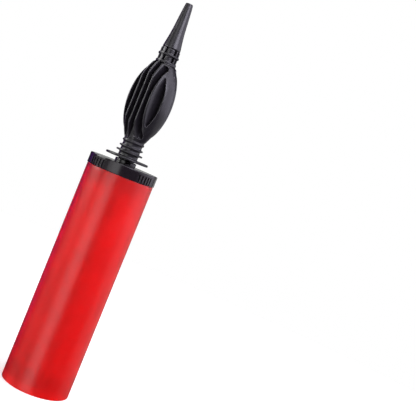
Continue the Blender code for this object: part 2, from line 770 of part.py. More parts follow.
def grip_outer_profile():
    """The grip's turned outline, from the nozzle spigot down to the guard disc and its socket."""
    seal_floor = NOZZLE_SPIGOT_RADIUS - NOZZLE_SEAL_GROOVE_DEPTH
    shoulder = NOZZLE_BASE - GAP
    points = [
        (0, SPIGOT_TOP),
        (NOZZLE_SPIGOT_RADIUS - EDGE, SPIGOT_TOP),
        (NOZZLE_SPIGOT_RADIUS, SPIGOT_TOP - EDGE),
        (NOZZLE_SPIGOT_RADIUS, NOZZLE_SEAL_HEIGHT + NOZZLE_SEAL_GROOVE_HALF),
        (seal_floor, NOZZLE_SEAL_HEIGHT + NOZZLE_SEAL_GROOVE_HALF),
        (seal_floor, NOZZLE_SEAL_HEIGHT - NOZZLE_SEAL_GROOVE_HALF),
        (NOZZLE_SPIGOT_RADIUS, NOZZLE_SEAL_HEIGHT - NOZZLE_SEAL_GROOVE_HALF),
        (NOZZLE_SPIGOT_RADIUS, shoulder),
        (UPPER_NECK_RADIUS - EDGE, shoulder),
    ]
    for height, radius in reversed(UPPER_RINGS):
        points += ring_profile(height, radius, UPPER_NECK_RADIUS, UPPER_RING_THICKNESS)
    bottom_ring = LOWER_RINGS[-1][0] + RING_THICKNESS / 2
    top_ring = UPPER_RINGS[0][0] - UPPER_RING_THICKNESS / 2
    for i in range(BODY_STEPS + 1):
        height = GRIP_TOP + (GRIP_BOTTOM - GRIP_TOP) * i / BODY_STEPS
        if bottom_ring < height < top_ring:
            points.append((grip_radius(height - GRIP_MIDDLE), height))
    points.append((LOWER_NECK_RADIUS, bottom_ring + RING_SLOPE))
    for height, radius in reversed(LOWER_RINGS):
        points += ring_profile(height, radius, LOWER_NECK_RADIUS, RING_THICKNESS)
    points += ring_profile(DISC_HEIGHT, DISC_RADIUS, LOWER_NECK_RADIUS, DISC_THICKNESS)[:-1]
    points.append((0, DISC_HEIGHT - DISC_THICKNESS / 2))
    return points


def make_grip():
    """The grip, one moulding: guard disc, ringed neck, finned body, windowed neck and nozzle spigot."""
    grip = turned("grip", grip_outer_profile(), MEDIUM, BLACK_PLASTIC)

    def flats(bm):
        for side in (-1, 1):
            near, far = sorted((side * GRIP_FRONT, side * FAR))
            low = (-FAR, near, GRIP_BOTTOM + FLATS_INSET)
            high = (FAR, far, GRIP_TOP - FLATS_INSET)
            add_box(bm, low, high)

    cut(grip, shapes("grip_flats", flats))
    half_web = WEB_THICKNESS / 2
    for side, name in ((-1, "front_pockets"), (1, "back_pockets")):
        cut(grip, prisms(name, pocket_outlines(), side * half_web, side * FAR))

    core_low = LOWER_RINGS[0][0]
    core = turned(
        "grip_core",
        [
            (0, CORE_TOP),
            (CORE_TOP_RADIUS, CORE_TOP),
            (CORE_TOP_RADIUS, CORE_TAPER[1]),
            (CORE_RADIUS, CORE_TAPER[0]),
            (CORE_RADIUS, CORE_FLARE[1]),
            (LOWER_NECK_RADIUS - CLOSE_GAP, CORE_FLARE[0]),
            (LOWER_NECK_RADIUS - CLOSE_GAP, core_low),
            (0, core_low),
        ],
        SMALL,
        cutter=True,
    )
    cut(grip, core, "UNION")

    def windows(bm):
        half = UPPER_RING_THICKNESS / 2
        low_ring, high_ring = (height for height, _ in UPPER_RINGS)
        rows = ((low_ring + half, high_ring - half), (high_ring + half, NOZZLE_BASE))
        for low, high in rows:
            for quarter in range(QUARTERS):
                for side in (-1, 1):
                    add_box(
                        bm,
                        (WINDOW_FLOOR, -WINDOW_WIDTH / 2, low),
                        (FAR, WINDOW_WIDTH / 2, high),
                        quarter * math.pi / 2 + side * WINDOW_OFFSETS[quarter % 2],
                    )

    cut(grip, shapes("neck_windows", windows))
    bore = [
        (0, SPIGOT_TOP + OVERRUN),
        (AIR_BORE, SPIGOT_TOP + OVERRUN),
        (AIR_BORE, AIR_BORE_FLARE),
        (ROD_BORE, ROD_TOP + GAP),
        (SOCKET_RADIUS, ROD_TOP + GAP),
        (SOCKET_RADIUS, DISC_HEIGHT - DISC_THICKNESS),
        (0, DISC_HEIGHT - DISC_THICKNESS),
    ]
    cut(grip, turned("grip_bore", bore, SMALL, cutter=True))
    seal_ring(
        "nozzle_seal",
        NOZZLE_SEAL_HEIGHT,
        NOZZLE_SPIGOT_RADIUS + RUNNING_GAP - CLOSE_GAP - NOZZLE_SEAL_SECTION,
        NOZZLE_SEAL_SECTION,
        TINY,
        SEAL_SIDES,
        RUBBER_BLACK,
    )


def make_nozzle():
    """The tapered nozzle, pushed over the grip's spigot."""
    socket = NOZZLE_SPIGOT_RADIUS + RUNNING_GAP
    profile = [
        (NOZZLE_TIP_RADIUS - EDGE, TOTAL_HEIGHT),
        (NOZZLE_TIP_RADIUS, TOTAL_HEIGHT - NOZZLE_TIP_ROUND),
        (NOZZLE_POINT_RADIUS, TOTAL_HEIGHT - NOZZLE_POINT_LENGTH),
        (NOZZLE_KINK_RADIUS, NOZZLE_KINK),
        (NOZZLE_BASE_RADIUS, NOZZLE_BASE + LEAD_IN),
        (NOZZLE_BASE_RADIUS - FINE_EDGE, NOZZLE_BASE),
        (socket, NOZZLE_BASE),
        (socket, SPIGOT_TOP + GAP),
        (NOZZLE_KINK_RADIUS - NOZZLE_WALL, NOZZLE_KINK),
        (NOZZLE_OUTLET, TOTAL_HEIGHT - NOZZLE_OUTLET_LENGTH),
        (NOZZLE_OUTLET, TOTAL_HEIGHT),
    ]
    turned("nozzle", profile, SMALL, BLACK_PLASTIC)


clear_scene()
PARTS = collection("balloon_pump")
CUTTERS = collection("cutters")
RED_PLASTIC = plastic("red_plastic", RED, 0.3)
BLACK_PLASTIC = plastic("black_plastic", BLACK, 0.42)
WHITE_PLASTIC = plastic("natural_plastic", NATURAL, 0.45)
RUBBER_BLACK = plastic("rubber", RUBBER, 0.7)
STEEL = plastic("spring_steel", (0.6, 0.6, 0.62), 0.3)
STEEL.node_tree.nodes["Principled BSDF"].inputs["Metallic"].default_value = 1

make_barrel()
make_intake_valve()
make_cap()
make_rod_guide()
make_cap_valve()
make_piston()
make_rod()
make_grip()
make_nozzle()
for part in PARTS.objects:
    shade(part)
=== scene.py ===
"""Looks of the double-action hand pump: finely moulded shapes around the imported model, procedural
plastics and rubbers, a studio and the camera."""

import math

import bmesh
import bpy
from mathutils import Matrix, Vector


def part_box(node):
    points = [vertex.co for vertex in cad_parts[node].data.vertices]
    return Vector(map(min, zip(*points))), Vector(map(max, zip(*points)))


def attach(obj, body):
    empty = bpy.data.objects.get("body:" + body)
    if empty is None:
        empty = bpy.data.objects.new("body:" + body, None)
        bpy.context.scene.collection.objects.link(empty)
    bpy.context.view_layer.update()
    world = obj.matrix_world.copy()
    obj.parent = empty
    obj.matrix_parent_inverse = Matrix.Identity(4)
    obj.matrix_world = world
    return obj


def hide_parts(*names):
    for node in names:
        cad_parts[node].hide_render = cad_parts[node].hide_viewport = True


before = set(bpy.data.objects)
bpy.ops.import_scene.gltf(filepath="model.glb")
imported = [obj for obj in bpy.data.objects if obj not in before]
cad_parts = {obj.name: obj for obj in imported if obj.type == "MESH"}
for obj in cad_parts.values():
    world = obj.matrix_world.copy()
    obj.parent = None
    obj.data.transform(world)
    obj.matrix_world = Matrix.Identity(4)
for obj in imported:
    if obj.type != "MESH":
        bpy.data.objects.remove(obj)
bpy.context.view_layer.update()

MM = 0.001

# Facets round a turned piece, points in a fillet, and how a mesh is joined up and shaded
FINE = 192
MEDIUM = 128
SMALL = 64
HOLE_SIDES = 32
FILLET_STEPS = 5
FILLET_SHARE = 0.49
LONGEST_FACE = 3.0 * MM
WELD = 0.002 * MM
CREASE = math.radians(40)

# Gaps between neighbours, and how far a cutter runs past the piece
GAP = 0.3 * MM
RUNNING_GAP = 0.2 * MM
CLOSE_GAP = 0.1 * MM
OVERRUN = 1.0 * MM

# Fillets, from a broken corner to a round edge
FINE_EDGE = 0.1 * MM
SOFT_EDGE = 0.2 * MM
EDGE = 0.25 * MM
ROUND_EDGE = 0.3 * MM
BROAD_EDGE = 0.4 * MM
BOLD_EDGE = 0.6 * MM

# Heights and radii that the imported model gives
BARREL_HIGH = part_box("barrel")[1]
CAP_LOW, CAP_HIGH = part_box("barrel_cap")
HUB_LOW, HUB_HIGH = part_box("rod_guide_bush")
ROD_LOW, ROD_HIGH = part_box("pump_rod")
GRIP_LOW, GRIP_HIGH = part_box("grip")
NOZZLE_LOW, NOZZLE_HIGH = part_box("nozzle")
BARREL_RADIUS = BARREL_HIGH.x
CAP_RADIUS = CAP_HIGH.x
CAP_TOP = CAP_HIGH.z

# Barrel
BARREL_WALL = 1.5 * MM
BORE = BARREL_RADIUS - BARREL_WALL
DRAFT = 0.15 * MM
DRAFT_LOW = 20.0 * MM
DRAFT_HIGH = BARREL_HIGH.z - 8.0 * MM
FOOT_ROUND = 0.9 * MM
FLOOR_FILLET = 0.8 * MM
FLOOR_LOW = 5.5 * MM
FLOOR_HIGH = 7.5 * MM
INTAKE_HOLES = 6
INTAKE_HOLE_RADIUS = 1.7 * MM
INTAKE_HOLE_CIRCLE = 5.8 * MM
PIN_HOLE_RADIUS = 1.9 * MM
SNAP_GROOVE = 154.0 * MM
SNAP_GROOVE_HALF = 0.8 * MM
SNAP_BEAD_HALF = 0.9 * MM
SNAP_DEPTH = 0.4 * MM

# Cap
CAP_SKIRT_LOW = CAP_TOP - 7.6 * MM
CAP_PLATE = 2.2 * MM
CAP_EDGE_ROUND = 1.1 * MM
CAP_HOLE_RADIUS = 7.2 * MM
CAP_SPIGOT_WALL = 2.0 * MM
CAP_SPIGOT_LEAD = 0.5 * MM
GASKET_HEIGHT = 157.8 * MM
GASKET_GROOVE_HALF = 0.9 * MM
GASKET_GROOVE_DEPTH = 1.2 * MM
VALVE_POCKET_RADIUS = 12.0 * MM
VALVE_SLEEVE_WALL = 1.4 * MM
RIB_GROUPS = 4
GROOVES = 5
GROOVE_PITCH = math.radians(6.4)
GROOVE_WIDTH = 1.35 * MM
GROOVE_DEPTH = 1.25 * MM
GROOVE_TOP = CAP_TOP - 1.9 * MM
GROOVE_RUNOUT = 0.7 * MM
GROOVE_FLARE = 1.25
GROOVE_FLATNESS = 4
GROOVED_DEPTH = 1.5 * MM
CAP_TURN = math.radians(-4.3)

# The cap's side runs between its top round and its lower edge. Its faces are closest across a groove.
CAP_SIDE_HIGH = CAP_TOP - 1.2 * MM
CAP_SIDE_LOW = CAP_SKIRT_LOW + 0.4 * MM
CAP_SIDE_STEPS = 18
CAP_FACETS = 180
GROOVE_FACETS = 24
GROOVE_SHARE = 0.98
CLOSEST_FACETS = math.radians(0.02)

# Rod and its guide
ROD_RADIUS = 5.8 * MM
ROD_BORE = 4.0 * MM
ROD_COLLAR_LOW = 23.25 * MM
ROD_COLLAR = 1.4 * MM
ROD_COLLAR_SLOPE = 0.6 * MM
ROD_SEAL_GROOVE_HALF = 0.8 * MM
ROD_SEAL_GROOVE_DEPTH = 1.05 * MM
PORTS = 4
PORT_HEIGHT = 16.8 * MM
PORT_RADIUS = 1.4 * MM
HUB_RADIUS = 7.75 * MM
HUB_BORE_ROUND = 0.5 * MM
HUB_FOOT_ROUND = 0.15 * MM
BARB = 0.35 * MM
BARB_LENGTH = 1.5 * MM

# Grip
GRIP_RADIUS = GRIP_HIGH.x
GRIP_MIDDLE = 216.8 * MM
GRIP_HALF_LENGTH = 29.2 * MM
GRIP_END_RADIUS = 7.45 * MM
GRIP_FRONT = 12.75 * MM
GRIP_STEPS = 40
FLATS_INSET = 1.0 * MM
FAR = 20.0 * MM
DISC_RADIUS = 15.7 * MM
DISC_HEIGHT = 173.7 * MM
DISC_THICKNESS = 1.6 * MM
LOWER_NECK_RADIUS = 7.1 * MM
LOWER_RINGS = ((178.1 * MM, 9.7 * MM), (181.7 * MM, 8.7 * MM), (185.8 * MM, 8.05 * MM))
RING_THICKNESS = 1.3 * MM
UPPER_NECK_RADIUS = 6.9 * MM
UPPER_RINGS = ((245.9 * MM, 7.55 * MM), (251.2 * MM, 7.65 * MM))
UPPER_RING_THICKNESS = 1.4 * MM
FIN_PITCH = 5.0 * MM
FIN_THICKNESS = 1.25 * MM
SKIN = 0.9 * MM
LENS_SKIN = 1.25 * MM
RIM = 0.6 * MM
POCKET_MIDDLE = 216.3 * MM
POCKET_LIMITS = (28.5 * MM, 26.7 * MM)
POCKET_STEPS = 4
POCKET_ROUND = 1.2 * MM
LENS_HALF_LENGTH = 19.6 * MM
LENS_STEPS = 40
WEB_THICKNESS = 1.2 * MM
CORE_RADIUS = 4.8 * MM
CORE_TOP_RADIUS = CORE_RADIUS - 0.6 * MM
CORE_TAPER_LOW = 240.0 * MM
CORE_FLARE = (ROD_HIGH.z + 2.0 * MM, ROD_HIGH.z + 6.0 * MM)
AIR_BORE = 2.8 * MM
AIR_BORE_FLARE = ROD_HIGH.z + 3.0 * MM
SPIGOT_RADIUS = 4.5 * MM
NOZZLE_SEAL_GROOVE_HALF = 0.7 * MM
NOZZLE_SEAL_GROOVE_DEPTH = 0.95 * MM
QUARTERS = 4
WINDOW_WIDTH = 2.0 * MM
WINDOW_OFFSETS = (math.radians(14.0), math.radians(19.5))
WINDOW_FLOOR = 4.1 * MM
WINDOW_REACH = 10.0 * MM

# How the grip is rebuilt with moulded edges
VOXEL = 0.32 * MM
RELAX_FACTOR = 0.5
RELAX_PASSES = 4

# Nozzle
NOZZLE_BASE_RADIUS = NOZZLE_HIGH.x
NOZZLE_KINK = 267.3 * MM
NOZZLE_KINK_RADIUS = 4.8 * MM
NOZZLE_KINK_ROUND = 6.0 * MM
NOZZLE_WALL = 1.3 * MM
NOZZLE_BORE_ROUND = 1.0 * MM
NOZZLE_POINT_RADIUS = 3.1 * MM
NOZZLE_POINT_LENGTH = 3.6 * MM
NOZZLE_POINT_ROUND = 2.0 * MM
NOZZLE_TIP_RADIUS = 2.55 * MM
NOZZLE_TIP_ROUND = 0.7 * MM
NOZZLE_OUTLET = 1.7 * MM
NOZZLE_OUTLET_LENGTH = 2.0 * MM
NOZZLE_OUTLET_ROUND = 0.5 * MM
NOZZLE_FOOT = 0.6 * MM
NOZZLE_FOOT_STEP = 0.15 * MM
NOZZLE_FILLET_STEPS = 8

# Plastics: noise features a metre and their detail, how much of a noise's range is used, how deep the
# textures press, and how sharp a corner is where a painted highlight lightens it
DRIFT_SCALE = 55.0
DRIFT_DETAIL = 3.0
WEAR_SCALE = 240.0
WEAR_DETAIL = 5.0
FLOW_SCALE = 900.0
FLOW_DETAIL = 2.0
FLOW_STRETCH = (1, 1, 0.03)
GRAIN_SCALE = 2600.0
GRAIN_DETAIL = 4.0
NOISE_LOW = 0.3
NOISE_HIGH = 0.7
GRAIN_STRENGTH = 0.6
FLOW_STRENGTH = 0.5
CORNER_LOW = 0.54
CORNER_HIGH = 0.58

# The red plastic: how much light goes straight through, and how far it spreads inside, by colour
RED_CLEARNESS = 0.45
RED_SPREAD = (1.0, 0.10, 0.08)
RED_SPREAD_DEPTH = 8.0 * MM


# Shapes

def rounded(corners, steps=FILLET_STEPS):
    """A closed outline from (radius, height, fillet) corners, each rounded by its fillet."""
    points = []
    for i, (x, y, fillet) in enumerate(corners):
        here = Vector((x, y))
        if fillet == 0:
            points.append(here)
            continue
        before = Vector(corners[i - 1][:2]) - here
        after = Vector(corners[(i + 1) % len(corners)][:2]) - here
        reach = min(fillet, FILLET_SHARE * before.length, FILLET_SHARE * after.length)
        start = here + before.normalized() * reach
        end = here + after.normalized() * reach
        for step in range(steps + 1):
            t = step / steps
            points.append((1 - t) ** 2 * start + 2 * t * (1 - t) * here + t**2 * end)
    return [(point.x, point.y) for point in points]


def divided(outline, longest):
    """The same outline with its long edges split, so that no face turned from it is a sliver."""
    points = []
    for i, here in enumerate(outline):
        after = outline[(i + 1) % len(outline)]
        parts = max(math.ceil(math.dist(here, after) / longest), 1)
        for part in range(parts):
            t = part / parts
            points.append((here[0] + (after[0] - here[0]) * t, here[1] + (after[1] - here[1]) * t))
    return points


def finished(name, bm):
    """Makes an object of a bmesh: joined up, facing outward and smooth between its sharp edges."""
    bmesh.ops.remove_doubles(bm, verts=bm.verts, dist=WELD)
    bmesh.ops.recalc_face_normals(bm, faces=bm.faces)
    mesh = bpy.data.meshes.new(name)
    bm.to_mesh(mesh)
    bm.free()
    mesh.shade_smooth()
    mesh.set_sharp_from_angle(angle=CREASE)
    obj = bpy.data.objects.new(name, mesh)
    bpy.context.scene.collection.objects.link(obj)
    return obj


def evenly(count):
    """Angles spaced evenly round a turn."""
    return [2 * math.pi * i / count for i in range(count)]


def lathe(name, outline, angles, shape=None):
    """A closed outline of (radius, height) points turned about Z. shape(radius, height, angle) gives the
    radius of a point where the piece isn't round."""
    bm = bmesh.new()
    rings = []
    for angle in angles:
        ring = []
        for radius, height in outline:
            reach = shape(radius, height, angle) if shape else radius
            ring.append(bm.verts.new((reach * math.cos(angle), reach * math.sin(angle), height)))
        rings.append(ring)
    for j, ring in enumerate(rings):
        after = rings[(j + 1) % len(rings)]
        for i in range(len(outline)):
            k = (i + 1) % len(outline)
            bm.faces.new((ring[i], ring[k], after[k], after[i]))
    return finished(name, bm)


def boxes(name, places):
    """A cutter of boxes, each from (low corner, high corner, turn about Z)."""
    bm = bmesh.new()
    for low, high, turn in places:
        low, high = Vector(low), Vector(high)
        centre = Matrix.Rotation(turn, 4, "Z") @ Matrix.Translation((low + high) / 2)
        bmesh.ops.create_cube(bm, size=1, matrix=centre @ Matrix.Diagonal((*(high - low), 1)))
    return finished(name, bm)


def rods(name, places, radius):
    """A cutter of round rods, each from (start, end)."""
    bm = bmesh.new()
    for start, end in places:
        start, end = Vector(start), Vector(end)
        turn = (end - start).to_track_quat("Z", "Y").to_matrix().to_4x4()
        bmesh.ops.create_cone(
            bm,
            cap_ends=True,
            segments=HOLE_SIDES,
            radius1=radius,
            radius2=radius,
            depth=(end - start).length,
            matrix=Matrix.Translation((start + end) / 2) @ turn,
        )
    return finished(name, bm)


def prism(name, outlines, near, far):
    """A cutter of flat (x, z) outlines, each run along Y from near to far."""
    bm = bmesh.new()
    for outline in outlines:
        front = [bm.verts.new((x, near, z)) for x, z in outline]
        back = [bm.verts.new((x, far, z)) for x, z in outline]
        bm.faces.new(front)
        bm.faces.new(back)
        for i in range(len(outline)):
            k = (i + 1) % len(outline)
            bm.faces.new((front[i], front[k], back[k], back[i]))
    return finished(name, bm)


def combine(obj, *steps):
    """Applies (operation, cutter) steps in turn, then removes the cutters."""
    for operation, cutter in steps:
        boolean = obj.modifiers.new(cutter.name, "BOOLEAN")
        boolean.operation = operation
        boolean.solver = "EXACT"
        boolean.object = cutter
    apply_modifiers(obj)
    for _, cutter in steps:
        bpy.data.objects.remove(cutter)
    return obj


def apply_modifiers(obj):
    """Makes an object's modifiers part of its mesh and shades it smooth between its sharp edges."""
    bpy.context.view_layer.update()
    graph = bpy.context.evaluated_depsgraph_get()
    mesh = bpy.data.meshes.new_from_object(obj.evaluated_get(graph))
    obj.modifiers.clear()
    obj.data = mesh
    mesh.shade_smooth()
    mesh.set_sharp_from_angle(angle=CREASE)


def soften(obj):
    """Rebuilds a piece at a fine voxel size and relaxes it, which rounds its edges as moulding does."""
    remesh = obj.modifiers.new("Remesh", "REMESH")
    remesh.mode = "VOXEL"
    remesh.voxel_size = VOXEL
    relax = obj.modifiers.new("Relax", "SMOOTH")
    relax.factor = RELAX_FACTOR
    relax.iterations = RELAX_PASSES
    apply_modifiers(obj)
    obj.data.set_sharp_from_angle(angle=math.pi)


# Materials

def node(tree, kind, inputs=None, **settings):
    """Adds a node. Each input is a value or the socket that feeds it."""
    made = tree.nodes.new(kind)
    for key, value in settings.items():
        setattr(made, key, value)
    for key, value in (inputs or {}).items():
        if isinstance(value, bpy.types.NodeSocket):
            tree.links.new(value, made.inputs[key])
        else:
            made.inputs[key].default_value = value
    return made


def noise(tree, place, scale, detail, stretch=(1, 1, 1)):
    """Noise of scale features a metre, in the object's own space."""
    mapping = node(tree, "ShaderNodeMapping", {"Vector": place, "Scale": stretch})
    texture = node(
        tree,
        "ShaderNodeTexNoise",
        {"Vector": mapping.outputs["Vector"], "Scale": scale, "Detail": detail},
    )
    return texture.outputs["Fac"]


def remap(tree, value, low, high):
    """Spreads the middle of a noise over low to high."""
    made = node(
        tree,
        "ShaderNodeMapRange",
        {
            "Value": value,
            "From Min": NOISE_LOW,
            "From Max": NOISE_HIGH,
            "To Min": low,
            "To Max": high,
        },
    )
    return made.outputs["Result"]


def moulded(name, colour, cloud, roughness, grain, streaks, edge_highlight=None):
    """A moulded plastic or rubber. colour drifts to cloud over centimetres; roughness is a (low, high)
    pair; grain is the depth of its fine texture; streaks its flow lines along Z; edge_highlight a painted
    highlight colour on its sharp convex corners, standing in for light caught on the edges."""
    material = bpy.data.materials.new(name)
    material.use_nodes = True
    tree = material.node_tree
    shader = tree.nodes["Principled BSDF"]
    place = node(tree, "ShaderNodeTexCoord").outputs["Object"]
    drift = remap(tree, noise(tree, place, DRIFT_SCALE, DRIFT_DETAIL), 0.0, 1.0)
    mix = node(
        tree,
        "ShaderNodeMix",
        {"Factor": drift, "A": (*colour, 1), "B": (*cloud, 1)},
        data_type="RGBA",
    )
    base = mix.outputs["Result"]
    # Convex corners get a painted highlight: a lighter colour that stands in for light caught on the edges.
    if edge_highlight:
        geometry = node(tree, "ShaderNodeNewGeometry")
        corners = node(
            tree,
            "ShaderNodeMapRange",
            {
                "Value": geometry.outputs["Pointiness"],
                "From Min": CORNER_LOW,
                "From Max": CORNER_HIGH,
            },
        )
        highlighted = node(
            tree,
            "ShaderNodeMix",
            {"Factor": corners.outputs["Result"], "A": base, "B": (*edge_highlight, 1)},
            data_type="RGBA",
        )
        base = highlighted.outputs["Result"]
    tree.links.new(base, shader.inputs["Base Color"])
    flow = noise(tree, place, FLOW_SCALE, FLOW_DETAIL, FLOW_STRETCH)
    wear = noise(tree, place, WEAR_SCALE, WEAR_DETAIL)
    together = node(tree, "ShaderNodeMath", {0: flow, 1: wear}, operation="ADD")
    halved = node(tree, "ShaderNodeMath", {0: together.outputs[0], 1: 0.5}, operation="MULTIPLY")
    tree.links.new(remap(tree, halved.outputs[0], *roughness), shader.inputs["Roughness"])
    fine = noise(tree, place, GRAIN_SCALE, GRAIN_DETAIL)
    bump = node(
        tree,
        "ShaderNodeBump",
        {"Height": fine, "Distance": grain, "Strength": GRAIN_STRENGTH},
    )
    lines = node(
        tree,
        "ShaderNodeBump",
        {
            "Height": flow,
            "Distance": streaks,
            "Strength": FLOW_STRENGTH,
            "Normal": bump.outputs["Normal"],
        },
    )
    tree.links.new(lines.outputs["Normal"], shader.inputs["Normal"])
    return material


def red_plastic():
    """The barrel's plastic, which lets some light through and spreads the rest inside its wall."""
    material = moulded(
        "red_translucent_plastic",
        (0.68, 0.012, 0.012),
        (0.61, 0.0095, 0.0095),
        (0.28, 0.32),
        0.004 * MM,
        0.012 * MM,
    )
    shader = material.node_tree.nodes["Principled BSDF"]
    shader.inputs["Subsurface Weight"].default_value = 1.0
    shader.inputs["Transmission Weight"].default_value = RED_CLEARNESS
    shader.inputs["Subsurface Radius"].default_value = RED_SPREAD
    shader.inputs["Subsurface Scale"].default_value = RED_SPREAD_DEPTH
    return material


def steel():
    """The snap ring's bare steel."""
    material = moulded(
        "spring_steel_wire",
        (0.55, 0.55, 0.57),
        (0.46, 0.46, 0.48),
        (0.22, 0.38),
        0.003 * MM,
        0.004 * MM,
    )
    material.node_tree.nodes["Principled BSDF"].inputs["Metallic"].default_value = 1.0
    return material


def paint(obj, material):
    """Gives an object one material."""
    obj.data.materials.clear()
    obj.data.materials.append(material)


def piece(obj, body, material, slot, *nodes):
    """Finishes a fine piece: its material, the body it rides on and the CAD nodes it stands for."""
    paint(obj, material)
    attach(obj, body)
    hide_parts(*nodes)
    return obj


# Pieces

def make_barrel():
    """The red tube: a slight draft outside, a round foot, a recessed floor with holes, a snap groove."""
    outline = rounded([
        (BARREL_RADIUS - DRAFT, BARREL_HIGH.z, EDGE),
        (BARREL_RADIUS - DRAFT, DRAFT_HIGH, 0),
        (BARREL_RADIUS, DRAFT_LOW, 0),
        (BARREL_RADIUS, 0, FOOT_ROUND),
        (BORE + CLOSE_GAP, 0, BROAD_EDGE),
        (BORE, FLOOR_LOW, BOLD_EDGE),
        (PIN_HOLE_RADIUS, FLOOR_LOW, EDGE),
        (PIN_HOLE_RADIUS, FLOOR_HIGH, EDGE),
        (BORE, FLOOR_HIGH, FLOOR_FILLET),
        (BORE, SNAP_GROOVE - SNAP_GROOVE_HALF, FINE_EDGE),
        (BORE + SNAP_DEPTH, SNAP_GROOVE, ROUND_EDGE),
        (BORE, SNAP_GROOVE + SNAP_GROOVE_HALF, FINE_EDGE),
        (BORE, BARREL_HIGH.z - BROAD_EDGE, FINE_EDGE),
        (BORE + BROAD_EDGE, BARREL_HIGH.z, FINE_EDGE),
    ])
    shell = lathe("barrel_shell", divided(outline, LONGEST_FACE), evenly(FINE))
    holes = []
    for angle in evenly(INTAKE_HOLES):
        x = INTAKE_HOLE_CIRCLE * math.cos(angle)
        y = INTAKE_HOLE_CIRCLE * math.sin(angle)
        holes.append(((x, y, FLOOR_LOW - OVERRUN), (x, y, FLOOR_HIGH + OVERRUN)))
    combine(shell, ("DIFFERENCE", rods("holes", holes, INTAKE_HOLE_RADIUS)))
    return piece(shell, "barrel", RED, "red_plastic", "barrel")


def groove_centres():
    """The angles of the cap's grip grooves."""
    return [
        CAP_TURN + group * 2 * math.pi / RIB_GROUPS + (i - (GROOVES - 1) / 2) * GROOVE_PITCH
        for group in range(RIB_GROUPS)
        for i in range(GROOVES)
    ]


def cap_angles():
    """Angles round the cap, close together across its grooves."""
    angles = set(evenly(CAP_FACETS))
    for centre in groove_centres():
        for i in range(GROOVE_FACETS + 1):
            turn = centre + (i / GROOVE_FACETS - 0.5) * GROOVE_PITCH * GROOVE_SHARE
            angles.add(turn % (2 * math.pi))
    ordered = sorted(angles)
    return [a for a, b in zip(ordered, ordered[1:] + [math.inf]) if b - a > CLOSEST_FACETS]


def cap_shape(radius, height, angle):
    """The cap's outer radius, cut by round-bottomed grooves that run out below its top edge."""
    if radius < CAP_RADIUS - GROOVED_DEPTH or height < CAP_SKIRT_LOW - FINE_EDGE:
        return radius
    nearest = min(abs((angle - c + math.pi) % (2 * math.pi) - math.pi) for c in groove_centres())
    across = nearest * CAP_RADIUS / (GROOVE_WIDTH / 2)
    open_end = (GROOVE_TOP - height) / GROOVE_RUNOUT
    if across >= GROOVE_FLARE or open_end <= 0:
        return radius
    trough = math.cos((across / GROOVE_FLARE) ** GROOVE_FLATNESS * math.pi / 2)
    return radius - GROOVE_DEPTH * trough * math.sqrt(min(open_end, 1))


def make_cap():
    """The cap: its grooved rim, its spigot with a gasket groove and a snap bead, the valve's sleeve."""
    spigot = BORE - GAP
    spigot_bore = spigot - CAP_SPIGOT_WALL
    plate_low = CAP_TOP - CAP_PLATE
    sleeve_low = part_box("cap_valve_retainer")[0].z
    sleeve = VALVE_POCKET_RADIUS + VALVE_SLEEVE_WALL
    groove_floor = spigot - GASKET_GROOVE_DEPTH
    side = [
        (CAP_RADIUS, CAP_SIDE_HIGH - i * (CAP_SIDE_HIGH - CAP_SIDE_LOW) / CAP_SIDE_STEPS, 0)
        for i in range(CAP_SIDE_STEPS + 1)
    ]
    outline = rounded([
        (CAP_HOLE_RADIUS, CAP_TOP, EDGE),
        (CAP_RADIUS, CAP_TOP, CAP_EDGE_ROUND),
        *side,
        (CAP_RADIUS, CAP_SKIRT_LOW, ROUND_EDGE),
        (spigot, CAP_SKIRT_LOW, FINE_EDGE),
        (spigot, GASKET_HEIGHT + GASKET_GROOVE_HALF, 0),
        (groove_floor, GASKET_HEIGHT + GASKET_GROOVE_HALF, 0),
        (groove_floor, GASKET_HEIGHT - GASKET_GROOVE_HALF, 0),
        (spigot, GASKET_HEIGHT - GASKET_GROOVE_HALF, 0),
        (spigot, SNAP_GROOVE + SNAP_BEAD_HALF, 0),
        (spigot + SNAP_DEPTH, SNAP_GROOVE, SOFT_EDGE),
        (spigot, SNAP_GROOVE - SNAP_BEAD_HALF, 0),
        (spigot - CAP_SPIGOT_LEAD, CAP_LOW.z, EDGE),
        (spigot_bore, CAP_LOW.z, EDGE),
        (spigot_bore, plate_low, EDGE),
        (sleeve, plate_low, EDGE),
        (sleeve, sleeve_low, EDGE),
        (VALVE_POCKET_RADIUS, sleeve_low, EDGE),
        (VALVE_POCKET_RADIUS, plate_low, FINE_EDGE),
        (CAP_HOLE_RADIUS, plate_low, FINE_EDGE),
    ])
    cap = lathe("cap_shell", outline, cap_angles(), cap_shape)
    return piece(cap, "barrel", GLOSS_BLACK, "black_plastic", "barrel_cap")


def make_hub():
    """The hub that guides the rod, on a barbed sleeve through the cap."""
    bore = ROD_RADIUS + GAP
    sleeve = CAP_HOLE_RADIUS - CLOSE_GAP
    barb_high = CAP_TOP - CAP_PLATE - RUNNING_GAP
    outline = rounded([
        (bore, HUB_HIGH.z, HUB_BORE_ROUND),
        (HUB_RADIUS, HUB_HIGH.z, BOLD_EDGE),
        (HUB_RADIUS, CAP_TOP + CLOSE_GAP, HUB_FOOT_ROUND),
        (sleeve, CAP_TOP + CLOSE_GAP, 0),
        (sleeve, barb_high, 0),
        (sleeve + BARB, barb_high, FINE_EDGE),
        (sleeve, barb_high - BARB_LENGTH, 0),
        (sleeve, HUB_LOW.z, SOFT_EDGE),
        (bore, HUB_LOW.z, SOFT_EDGE),
    ])
    hub = lathe("rod_guide_hub", outline, evenly(MEDIUM))
    return piece(hub, "barrel", GLOSS_BLACK, "black_plastic", "rod_guide_bush")


def middle_of(name):
    """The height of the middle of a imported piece."""
    low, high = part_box(name)
    return (low.z + high.z) / 2


